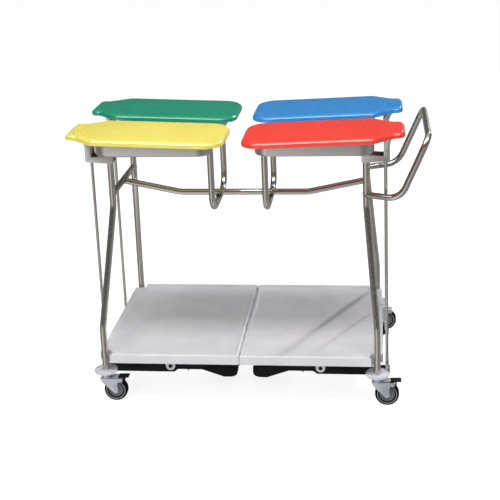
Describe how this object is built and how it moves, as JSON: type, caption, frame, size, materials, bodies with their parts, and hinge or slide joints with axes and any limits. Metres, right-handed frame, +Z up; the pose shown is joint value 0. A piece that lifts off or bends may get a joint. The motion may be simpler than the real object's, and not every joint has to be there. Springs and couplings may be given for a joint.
{
  "type": "laundry sorter trolley",
  "caption": "Wheeled laundry sorter: a bent-tube frame carries bag rings under coloured lids, each raised by a foot pedal, over shelf trays and swivel casters.",
  "frame": {"origin": "on the floor, under the middle of the bounding box", "axes": "+X along the length towards the push handle, +Y from the front to the rear, +Z up"},
  "size_m": [1.1973, 0.658, 0.9294],
  "materials": {
    "steel": "satin, fine lengthwise grain",
    "zinc": "zinc plated, dull",
    "shelf_grey": "fine moulded grain",
    "lid_yellow": "glossy moulding",
    "lid_red": "glossy moulding",
    "lid_green": "glossy moulding",
    "lid_blue": "glossy moulding",
    "black_plastic": "fine grain",
    "bumper_grey": "smooth",
    "tyre": "matt rubber tread with a grey moulded core"
  },
  "bodies": {
    "trolley_frame": {"leg_front_left": "steel", "bag_ring_front_left": "steel", "hinge_bracket_front_left": "steel", "caster_mount_front_left": "bumper_grey", "leg_rear_left": "steel", "bag_ring_rear_left": "steel", "hinge_bracket_rear_left": "steel", "caster_mount_rear_left": "bumper_grey", "leg_front_right": "steel", "bag_ring_front_right": "steel", "hinge_bracket_front_right": "steel", "caster_mount_front_right": "bumper_grey", "leg_rear_right": "steel", "bag_ring_rear_right": "steel", "hinge_bracket_rear_right": "steel", "caster_mount_rear_right": "bumper_grey", "cross_tube_left": "steel", "ring_support_left": "steel", "shelf_tray_left": "shelf_grey", "pedal_shaft_left": "zinc", "cross_tube_right": "steel", "ring_support_right": "steel", "shelf_tray_right": "shelf_grey", "pedal_shaft_right": "zinc", "centre_beam": "steel", "push_handle": "steel", "base_frame": "zinc"},
    "lid_unit_front_left": {"lid_front_left": "lid_yellow", "lift_arm_front_left": "zinc"},
    "rod_unit_front_left": {"push_rod_front_left": "steel", "rod_clevis_front_left": "zinc"},
    "pedal_unit_front_left": {"pedal_front_left": "black_plastic"},
    "fork_unit_front_left": {"caster_fork_front_left": "zinc"},
    "wheel_unit_front_left": {"caster_wheel_front_left": "tyre"},
    "brake_unit_front_left": {"caster_brake_front_left": "black_plastic"},
    "lid_unit_rear_left": {"lid_rear_left": "lid_green", "lift_arm_rear_left": "zinc"},
    "rod_unit_rear_left": {"push_rod_rear_left": "steel", "rod_clevis_rear_left": "zinc"},
    "pedal_unit_rear_left": {"pedal_rear_left": "black_plastic"},
    "fork_unit_rear_left": {"caster_fork_rear_left": "zinc"},
    "wheel_unit_rear_left": {"caster_wheel_rear_left": "tyre"},
    "lid_unit_front_right": {"lid_front_right": "lid_red", "lift_arm_front_right": "zinc"},
    "rod_unit_front_right": {"push_rod_front_right": "steel", "rod_clevis_front_right": "zinc"},
    "pedal_unit_front_right": {"pedal_front_right": "black_plastic"},
    "fork_unit_front_right": {"caster_fork_front_right": "zinc"},
    "wheel_unit_front_right": {"caster_wheel_front_right": "tyre"},
    "brake_unit_front_right": {"caster_brake_front_right": "black_plastic"},
    "lid_unit_rear_right": {"lid_rear_right": "lid_blue", "lift_arm_rear_right": "zinc"},
    "rod_unit_rear_right": {"push_rod_rear_right": "steel", "rod_clevis_rear_right": "zinc"},
    "pedal_unit_rear_right": {"pedal_rear_right": "black_plastic"},
    "fork_unit_rear_right": {"caster_fork_rear_right": "zinc"},
    "wheel_unit_rear_right": {"caster_wheel_rear_right": "tyre"}
  },
  "joints": [
    {"name": "lid_open_front_left", "type": "hinge", "parent": "trolley_frame", "child": "lid_unit_front_left", "pos_m": [-0.55325, -0.158, 0.903], "axis": [0, -1, 0], "range_deg": [0, 75]},
    {"name": "rod_lift_front_left", "type": "slide", "parent": "trolley_frame", "child": "rod_unit_front_left", "axis": [0, 0, 1], "range_m": [0, 0.0208]},
    {"name": "pedal_press_front_left", "type": "hinge", "parent": "trolley_frame", "child": "pedal_unit_front_left", "pos_m": [-0.30725, -0.154, 0.064], "axis": [0, 1, 0], "range_deg": [0, 5.2]},
    {"name": "lid_open_rear_left", "type": "hinge", "parent": "trolley_frame", "child": "lid_unit_rear_left", "pos_m": [-0.55325, 0.158, 0.903], "axis": [0, -1, 0], "range_deg": [0, 75]},
    {"name": "rod_lift_rear_left", "type": "slide", "parent": "trolley_frame", "child": "rod_unit_rear_left", "axis": [0, 0, 1], "range_m": [0, 0.0208]},
    {"name": "pedal_press_rear_left", "type": "hinge", "parent": "trolley_frame", "child": "pedal_unit_rear_left", "pos_m": [-0.30725, 0.154, 0.064], "axis": [0, 1, 0], "range_deg": [0, 5.2]},
    {"name": "lid_open_front_right", "type": "hinge", "parent": "trolley_frame", "child": "lid_unit_front_right", "pos_m": [0.46675, -0.158, 0.903], "axis": [0, 1, 0], "range_deg": [0, 75]},
    {"name": "rod_lift_front_right", "type": "slide", "parent": "trolley_frame", "child": "rod_unit_front_right", "axis": [0, 0, 1], "range_m": [0, 0.0208]},
    {"name": "pedal_press_front_right", "type": "hinge", "parent": "trolley_frame", "child": "pedal_unit_front_right", "pos_m": [0.22075, -0.154, 0.064], "axis": [0, -1, 0], "range_deg": [0, 5.2]},
    {"name": "lid_open_rear_right", "type": "hinge", "parent": "trolley_frame", "child": "lid_unit_rear_right", "pos_m": [0.46675, 0.158, 0.903], "axis": [0, 1, 0], "range_deg": [0, 75]},
    {"name": "rod_lift_rear_right", "type": "slide", "parent": "trolley_frame", "child": "rod_unit_rear_right", "axis": [0, 0, 1], "range_m": [0, 0.0208]},
    {"name": "pedal_press_rear_right", "type": "hinge", "parent": "trolley_frame", "child": "pedal_unit_rear_right", "pos_m": [0.22075, 0.154, 0.064], "axis": [0, -1, 0], "range_deg": [0, 5.2]},
    {"name": "swivel_front_left", "type": "hinge", "parent": "trolley_frame", "child": "fork_unit_front_left", "pos_m": [-0.50425, -0.29, 0.098], "axis": [0, 0, 1], "continuous": true},
    {"name": "wheel_spin_front_left", "type": "hinge", "parent": "fork_unit_front_left", "child": "wheel_unit_front_left", "pos_m": [-0.47275, -0.29, 0.04], "axis": [0, 1, 0], "continuous": true},
    {"name": "brake_press_front_left", "type": "hinge", "parent": "fork_unit_front_left", "child": "brake_unit_front_left", "pos_m": [-0.48025, -0.29, 0.087], "axis": [0, 1, 0], "range_deg": [0, 4]},
    {"name": "swivel_rear_left", "type": "hinge", "parent": "trolley_frame", "child": "fork_unit_rear_left", "pos_m": [-0.50425, 0.29, 0.098], "axis": [0, 0, 1], "continuous": true},
    {"name": "wheel_spin_rear_left", "type": "hinge", "parent": "fork_unit_rear_left", "child": "wheel_unit_rear_left", "pos_m": [-0.47275, 0.29, 0.04], "axis": [0, 1, 0], "continuous": true},
    {"name": "swivel_front_right", "type": "hinge", "parent": "trolley_frame", "child": "fork_unit_front_right", "pos_m": [0.41775, -0.29, 0.098], "axis": [0, 0, 1], "continuous": true},
    {"name": "wheel_spin_front_right", "type": "hinge", "parent": "fork_unit_front_right", "child": "wheel_unit_front_right", "pos_m": [0.44925, -0.29, 0.04], "axis": [0, 1, 0], "continuous": true},
    {"name": "brake_press_front_right", "type": "hinge", "parent": "fork_unit_front_right", "child": "brake_unit_front_right", "pos_m": [0.44175, -0.29, 0.087], "axis": [0, 1, 0], "range_deg": [0, 4]},
    {"name": "swivel_rear_right", "type": "hinge", "parent": "trolley_frame", "child": "fork_unit_rear_right", "pos_m": [0.41775, 0.29, 0.098], "axis": [0, 0, 1], "continuous": true},
    {"name": "wheel_spin_rear_right", "type": "hinge", "parent": "fork_unit_rear_right", "child": "wheel_unit_rear_right", "pos_m": [0.44925, 0.29, 0.04], "axis": [0, 1, 0], "continuous": true}
  ],
  "couplings": [
    {"joint": "rod_lift_front_left", "follows": "lid_open_front_left", "m_per_rad": 0.015812},
    {"joint": "pedal_press_front_left", "follows": "lid_open_front_left", "ratio": 0.068839},
    {"joint": "rod_lift_rear_left", "follows": "lid_open_rear_left", "m_per_rad": 0.015812},
    {"joint": "pedal_press_rear_left", "follows": "lid_open_rear_left", "ratio": 0.068839},
    {"joint": "rod_lift_front_right", "follows": "lid_open_front_right", "m_per_rad": 0.015812},
    {"joint": "pedal_press_front_right", "follows": "lid_open_front_right", "ratio": 0.068839},
    {"joint": "rod_lift_rear_right", "follows": "lid_open_rear_right", "m_per_rad": 0.015812},
    {"joint": "pedal_press_rear_right", "follows": "lid_open_rear_right", "ratio": 0.068839}
  ]
}
